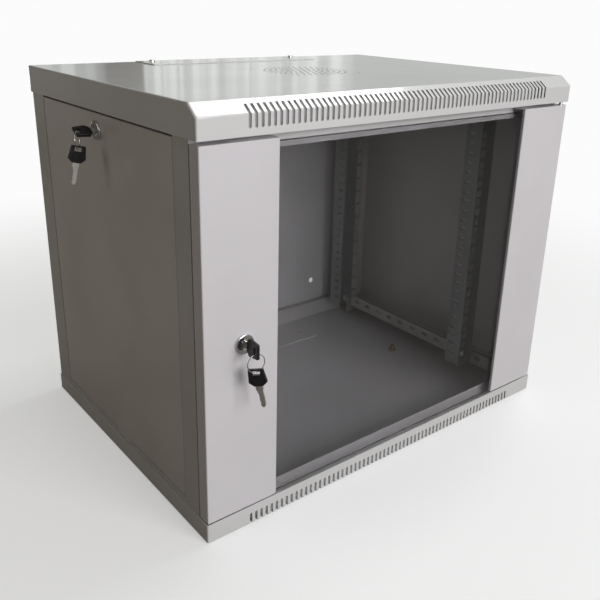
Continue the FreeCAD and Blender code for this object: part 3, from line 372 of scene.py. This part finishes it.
def powder_coat(name, colour, gloss, clouding, ripple, dust, edge_colour, coat):
    """Semi-gloss powder coat on steel sheet."""
    finish, tree, surface = new_finish(name)
    skin = place_effect(tree, powder_skin, Colour=colour, Clouding=clouding, Ripple=ripple,
                        Gloss=gloss)
    edges = place_effect(tree, edge_round, Radius=0.0007)
    film = place_effect(tree, settled_dust, Colour=skin.outputs["Colour"], Amount=dust)
    # edges are drawn lighter, toward the edge colour: partly wear, partly a painted highlight along
    # the folds
    lightening = calculate(tree, "MULTIPLY", edges.outputs["Edge"], 0.35)
    tree.links.new(shade(tree, lightening, film.outputs["Colour"], edge_colour),
                   surface.inputs["Base Color"])
    tree.links.new(calculate(tree, "ADD", skin.outputs["Roughness"],
                             calculate(tree, "MULTIPLY", film.outputs["Mask"], 0.4), True),
                   surface.inputs["Roughness"])
    surface.inputs["Coat Weight"].default_value = coat
    surface.inputs["Coat Roughness"].default_value = 0.07
    tree.links.new(bump(tree, skin.outputs["Height"], 0.00012, 0.5, edges.outputs["Normal"]),
                   surface.inputs["Normal"])
    return finish


def finish_nodes(finish, slot, *names):
    """CAD nodes given a finish; the slot argument is not used."""
    for name in names:
        nodes[name].data.materials.clear()
        nodes[name].data.materials.append(finish)


cover_coat = powder_coat("cover_powder_coat", (0.600, 0.602, 0.600, 1), 0.38, 0.30, 1.0, 0.10,
                         (0.74, 0.74, 0.74, 1), 0.80)
finish_nodes(cover_coat, "painted_sheet", "top_cover", "base_tray", "top_cable_plate",
             "base_cable_plate", "rear_panel")


# ---- side panels --------------------------------------------------------------------------
# Each side is a folded steel pan with a tongue at its foot and a lock at its top; its coat
# is a little glossier and shows a longer ripple than the covers'.
side_coat = powder_coat("side_powder_coat", (0.585, 0.570, 0.545, 1), 0.36, 0.45, 1.4, 0.10,
                        (0.68, 0.67, 0.65, 1), 0.55)
finish_nodes(side_coat, "painted_sheet", "side_panel_left", "side_panel_right")


# ---- door strips --------------------------------------------------------------------------
# Two folded steel strips carry the glass at its long edges; the right one holds the hinge
# pins and the left one the lock.
strip_coat = powder_coat("strip_powder_coat", (0.600, 0.585, 0.605, 1), 0.38, 0.25, 1.0, 0.0,
                         (0.74, 0.74, 0.75, 1), 0.22)
finish_nodes(strip_coat, "painted_sheet", "door_strip_left", "door_strip_right")


# ---- frame --------------------------------------------------------------------------------
# Posts, crossbars and side rails are folded 1.5 mm steel with the same grey coat, a little
# duller and dustier, given a darker colour as painted shade for the cabinet's inside.
frame_coat_painted_shade = powder_coat("frame_powder_coat", (0.50, 0.50, 0.495, 1), 0.40, 0.55, 1.2, 0.30,
                         (0.70, 0.70, 0.70, 1), 0.12)
finish_nodes(frame_coat_painted_shade, "painted_frame", "front_crossbar_top", "front_crossbar_bottom",
             "rear_crossbar_top", "rear_crossbar_bottom", "front_post_left", "front_post_right",
             "rear_post_left", "rear_post_right", "lower_side_rail_left", "lower_side_rail_right",
             "upper_side_rail_left", "upper_side_rail_right", "lower_depth_brackets",
             "upper_depth_brackets")


# ---- rack rails ---------------------------------------------------------------------------
# The four 19-inch rails are folded zinc-coated steel with square holes; the zinc has a fine
# spangle and a cool, slightly green cast.
zinc_skin, entry, leave = new_effect(
    "zinc_skin",
    [("Colour", "Color", (0.6, 0.64, 0.63, 1)), ("Grain", "Float", 420.0), ("Contrast", "Float", 0.4)],
    [("Colour", "Color"), ("Roughness", "Float"), ("Height", "Float")])
own_way = zinc_skin.nodes.new("ShaderNodeTexCoord").outputs["Object"]
crystals = set_up(zinc_skin, "ShaderNodeTexVoronoi", {"Vector": own_way,
                                                      "Scale": entry.outputs["Grain"]})
crystal_tone = set_up(zinc_skin, "ShaderNodeSeparateColor", {0: crystals.outputs["Color"]}).outputs[0]
dulled = noise(zinc_skin, own_way, 24.0, 5.0, 0.6)
darker = shade(zinc_skin, 1.0, entry.outputs["Colour"], (0.55, 0.58, 0.60, 1), "MULTIPLY")
tone_share = calculate(zinc_skin, "MULTIPLY", crystal_tone, entry.outputs["Contrast"])
zinc_skin.links.new(shade(zinc_skin, tone_share, entry.outputs["Colour"], darker),
                    leave.inputs["Colour"])
zinc_skin.links.new(calculate(zinc_skin, "ADD", stretch(zinc_skin, dulled, 0.3, 0.75, 0.32, 0.50),
                              calculate(zinc_skin, "MULTIPLY", crystal_tone, 0.10)),
                    leave.inputs["Roughness"])
zinc_skin.links.new(crystal_tone, leave.inputs["Height"])

rail_finish, tree, surface = new_finish("zinc_rail")
# the rails' dark colour is painted shade for the cabinet's inside; their edges are mixed toward a
# lighter zinc tone
skin = place_effect(tree, zinc_skin, Colour=(0.33, 0.37, 0.36, 1), Grain=380.0, Contrast=0.35)
edges = place_effect(tree, edge_round, Radius=0.0005)
tree.links.new(shade(tree, calculate(tree, "MULTIPLY", edges.outputs["Edge"], 0.5),
                     skin.outputs["Colour"], (0.62, 0.66, 0.65, 1)), surface.inputs["Base Color"])
tree.links.new(skin.outputs["Roughness"], surface.inputs["Roughness"])
surface.inputs["Metallic"].default_value = 0.55
tree.links.new(bump(tree, skin.outputs["Height"], 0.00003, 0.6, edges.outputs["Normal"]),
               surface.inputs["Normal"])
finish_nodes(rail_finish, "zinc_plated_rail", "front_rack_rail_left", "front_rack_rail_right",
             "rear_rack_rail_left", "rear_rack_rail_right")


# ---- screws, bolts, pins and spring -------------------------------------------------------
# Bright zinc-plated steel: turned and rolled parts whose plating is a little cloudy, with
# polished high spots.
metal_marks, entry, leave = new_effect(
    "metal_marks",
    [("Colour", "Color", (0.7, 0.7, 0.7, 1)), ("Tarnish", "Float", 0.3), ("Gloss", "Float", 0.2),
     ("Stretch", "Vector", (1.0, 1.0, 1.0))],
    [("Colour", "Color"), ("Roughness", "Float"), ("Height", "Float")])
own_way = metal_marks.nodes.new("ShaderNodeTexCoord").outputs["Object"]
drawn = set_up(metal_marks, "ShaderNodeVectorMath", {0: own_way, 1: entry.outputs["Stretch"]},
               operation="MULTIPLY").outputs["Vector"]
lines = noise(metal_marks, drawn, 900.0, 3.0, 0.6)
stains = noise(metal_marks, own_way, 130.0, 4.0, 0.6)
darker = shade(metal_marks, 1.0, entry.outputs["Colour"], (0.48, 0.46, 0.44, 1), "MULTIPLY")
stain_share = calculate(metal_marks, "MULTIPLY", stretch(metal_marks, stains, 0.45, 0.75),
                        entry.outputs["Tarnish"])
metal_marks.links.new(shade(metal_marks, stain_share, entry.outputs["Colour"], darker),
                      leave.inputs["Colour"])
metal_marks.links.new(calculate(metal_marks, "ADD", entry.outputs["Gloss"],
                                calculate(metal_marks, "MULTIPLY",
                                          calculate(metal_marks, "ADD", lines, stains), 0.14)),
                      leave.inputs["Roughness"])
metal_marks.links.new(lines, leave.inputs["Height"])


def plated_metal(name, colour, gloss, tarnish, draw, relief, edge_colour):
    """A plated or polished metal with drawn lines and light stains."""
    finish, tree, surface = new_finish(name)
    skin = place_effect(tree, metal_marks, Colour=colour, Tarnish=tarnish, Gloss=gloss, Stretch=draw)
    edges = place_effect(tree, edge_round, Radius=0.0003)
    tree.links.new(shade(tree, calculate(tree, "MULTIPLY", edges.outputs["Edge"], 0.6),
                         skin.outputs["Colour"], edge_colour), surface.inputs["Base Color"])
    tree.links.new(skin.outputs["Roughness"], surface.inputs["Roughness"])
    surface.inputs["Metallic"].default_value = 1.0
    tree.links.new(bump(tree, skin.outputs["Height"], relief, 0.5, edges.outputs["Normal"]),
                   surface.inputs["Normal"])
    return finish


fastener_steel = plated_metal("bright_zinc_steel", (0.66, 0.67, 0.68, 1), 0.20, 0.35, (1, 1, 1),
                              0.00002, (0.85, 0.86, 0.86, 1))
finish_nodes(fastener_steel, "steel_fastener", "cable_plate_screws", "rack_rail_bolts",
             "pan_head_screws", "hinge_pin_bottom", "hinge_pin_bracket", "hinge_pin_top",
             "hinge_pin_spring")


# ---- earthing stud ------------------------------------------------------------------------
# A brass stud and nut on the floor tray, left bare so that the earth wire makes contact.
stud_brass = plated_metal("stud_brass", (0.46, 0.30, 0.14, 1), 0.26, 0.60, (1, 1, 1), 0.00002,
                          (0.66, 0.48, 0.26, 1))
finish_nodes(stud_brass, "earth_brass", "earth_stud")


# ---- hinge bushes -------------------------------------------------------------------------
# Natural nylon collars, moulded and pressed into the crossbars, in which the door's pins
# turn without squeaking.
moulded_skin, entry, leave = new_effect(
    "moulded_skin",
    [("Colour", "Color", (0.02, 0.02, 0.02, 1)), ("Worn Colour", "Color", (0.12, 0.12, 0.12, 1)),
     ("Grain", "Float", 1400.0), ("Wear", "Float", 0.5), ("Edge", "Float", 0.0)],
    [("Colour", "Color"), ("Roughness", "Float"), ("Height", "Float")])
own_way = moulded_skin.nodes.new("ShaderNodeTexCoord").outputs["Object"]
fine = noise(moulded_skin, own_way, entry.outputs["Grain"], 2.0)
scuffs = stretch(moulded_skin, noise(moulded_skin, own_way, 190.0, 5.0, 0.7), 0.5, 0.75)
rubbed = calculate(moulded_skin, "MULTIPLY",
                   calculate(moulded_skin, "ADD", calculate(moulded_skin, "MULTIPLY", scuffs, 0.25),
                             entry.outputs["Edge"]), entry.outputs["Wear"], True)
moulded_skin.links.new(shade(moulded_skin, rubbed, entry.outputs["Colour"],
                             entry.outputs["Worn Colour"]), leave.inputs["Colour"])
moulded_skin.links.new(stretch(moulded_skin, scuffs, 0.0, 1.0, 0.30, 0.48),
                       leave.inputs["Roughness"])
moulded_skin.links.new(fine, leave.inputs["Height"])


def moulded_plastic(name, colour, lightening, grain, wear):
    """A moulded plastic with fine grain, scuffs and rubbed edges."""
    finish, tree, surface = new_finish(name)
    edges = place_effect(tree, edge_round, Radius=0.0004)
    skin = place_effect(tree, moulded_skin, Colour=colour, Worn_Colour=lightening, Grain=grain,
                        Wear=wear, Edge=edges.outputs["Edge"])
    tree.links.new(skin.outputs["Colour"], surface.inputs["Base Color"])
    tree.links.new(skin.outputs["Roughness"], surface.inputs["Roughness"])
    tree.links.new(bump(tree, skin.outputs["Height"], 0.00004, 0.4, edges.outputs["Normal"]),
                   surface.inputs["Normal"])
    return finish


bush_nylon = moulded_plastic("bush_nylon", (0.70, 0.69, 0.64, 1), (0.80, 0.79, 0.76, 1), 900.0,
                             0.4)
finish_nodes(bush_nylon, "nylon", "hinge_bushes")


# ---- door glass ---------------------------------------------------------------------------
# A 5 mm pane of smoke-tinted toughened glass, bonded at its long edges to the strips, with
# ground edges and the faint film that wiping leaves.
glass_finish, tree, surface = new_finish("smoked_glass")
own_way = tree.nodes.new("ShaderNodeTexCoord").outputs["Object"]
surface.inputs["Base Color"].default_value = (0.54, 0.535, 0.55, 1)
surface.inputs["Transmission Weight"].default_value = 1.0
surface.inputs["IOR"].default_value = 1.5
wiped = set_up(tree, "ShaderNodeVectorMath", {0: own_way, 1: (1.0, 1.0, 0.3)},
               operation="MULTIPLY").outputs["Vector"]
wipe_marks = noise(tree, wiped, 14.0, 6.0, 0.6)
tree.links.new(stretch(tree, wipe_marks, 0.45, 0.85, 0.0, 0.035), surface.inputs["Roughness"])
tinted_light = set_up(tree, "ShaderNodeBsdfTransparent", {"Color": (0.74, 0.735, 0.74, 1)})
rays = tree.nodes.new("ShaderNodeLightPath")
let_through = set_up(tree, "ShaderNodeMixShader", {0: rays.outputs["Is Shadow Ray"],
                                                   1: surface.outputs["BSDF"],
                                                   2: tinted_light.outputs["BSDF"]})
tree.links.new(let_through.outputs["Shader"], tree.nodes["Material Output"].inputs["Surface"])
finish_nodes(glass_finish, "smoked_glass", "door_glass")


# ---- bonding tape -------------------------------------------------------------------------
# Thin dark acrylic foam between the glass and each strip, seen as a black line.
tape_foam = moulded_plastic("bonding_tape", (0.018, 0.018, 0.019, 1), (0.05, 0.05, 0.05, 1),
                            2600.0, 0.2)
finish_nodes(tape_foam, "bonding_tape", "door_glass_tape")


# ---- cam locks ----------------------------------------------------------------------------
# Three zinc die-cast barrels with bright chrome faces, each held by a nut inside its panel;
# the plug turns a steel cam.
lock_chrome = plated_metal("lock_chrome", (0.74, 0.74, 0.76, 1), 0.05, 0.18, (1, 1, 1), 0.00001,
                           (0.92, 0.92, 0.93, 1))
finish_nodes(lock_chrome, "lock_chrome", "door_lock_body", "door_lock_plug", "left_lock_body",
             "left_lock_plug", "right_lock_body", "right_lock_plug")
lock_steel = plated_metal("lock_zinc_steel", (0.60, 0.61, 0.61, 1), 0.24, 0.45, (1, 1, 1),
                          0.00002, (0.80, 0.80, 0.80, 1))
finish_nodes(lock_steel, "steel_fastener", "door_lock_nut", "door_lock_cam", "left_lock_nut",
             "left_lock_cam", "right_lock_nut", "right_lock_cam")


# ---- keys ---------------------------------------------------------------------------------
# Nickel-plated brass blades with black heads moulded over them; one key stands in the lock
# and its twin hangs from it.
head_plastic = moulded_plastic("key_head_plastic", (0.010, 0.010, 0.012, 1),
                               (0.11, 0.11, 0.115, 1), 1500.0, 0.55)
finish_nodes(head_plastic, "key_head_plastic", "door_key_head", "door_spare_key_head",
             "left_key_head", "left_spare_key_head")
blade_nickel = plated_metal("key_nickel", (0.80, 0.79, 0.77, 1), 0.24, 0.4, (1.0, 1.0, 0.06),
                            0.00012, (0.92, 0.91, 0.88, 1))
finish_nodes(blade_nickel, "key_nickel", "door_key_blade", "door_spare_key_blade",
             "left_key_blade", "left_spare_key_blade")


# ---- key rings ----------------------------------------------------------------------------
# Each ring is two turns of flattened spring-steel wire, side by side, with a step where one
# turn passes to the other.
ring_steel = plated_metal("ring_steel", (0.70, 0.70, 0.71, 1), 0.10, 0.2, (1, 1, 1), 0.00001,
                          (0.90, 0.90, 0.90, 1))
wire_half_width = 0.00045
wire_half_layer = 0.00021
for side in ("door", "left"):
    low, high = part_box(side + "_key_ring")
    middle_of_ring = (low + high) / 2
    joint = next(j for j in frame["joints"] if j["child"] == side + "_key_ring")
    along = Vector(joint["axis"]).normalized()
    across = along.cross(Vector((0, 0, 1)))
    radius = (high.z - low.z) / 2 - wire_half_width
    steps = 220
    vertices = []
    faces = []
    for step in range(steps + 1):
        turn = 4 * math.pi * step / steps
        part = min(max((turn - 2 * math.pi + 0.35) / 0.7, 0), 1)
        layer = (part * part * (3 - 2 * part) - 0.5) * 2 * wire_half_layer
        angle = 0.99 * turn + math.radians(50)
        outward = along * math.cos(angle) + Vector((0, 0, 1)) * math.sin(angle)
        for u, v in ((-1, -0.6), (-0.7, -1), (0.7, -1), (1, -0.6), (1, 0.6), (0.7, 1), (-0.7, 1),
                     (-1, 0.6)):
            vertices.append(middle_of_ring + outward * (radius + u * wire_half_width)
                            + across * (layer + v * wire_half_layer * 0.96))
        if step:
            start = (step - 1) * 8
            faces += [(start + k, start + (k + 1) % 8, start + 8 + (k + 1) % 8, start + 8 + k)
                      for k in range(8)]
    faces.append(tuple(range(7, -1, -1)))
    faces.append(tuple(steps * 8 + k for k in range(8)))
    ring = mesh_piece(side + "_split_ring", vertices, faces)
    ring.data.materials.append(ring_steel)
    for polygon in ring.data.polygons:
        polygon.use_smooth = len(polygon.vertices) == 4
    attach(ring, side + "_key_ring")
    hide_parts(side + "_key_ring")
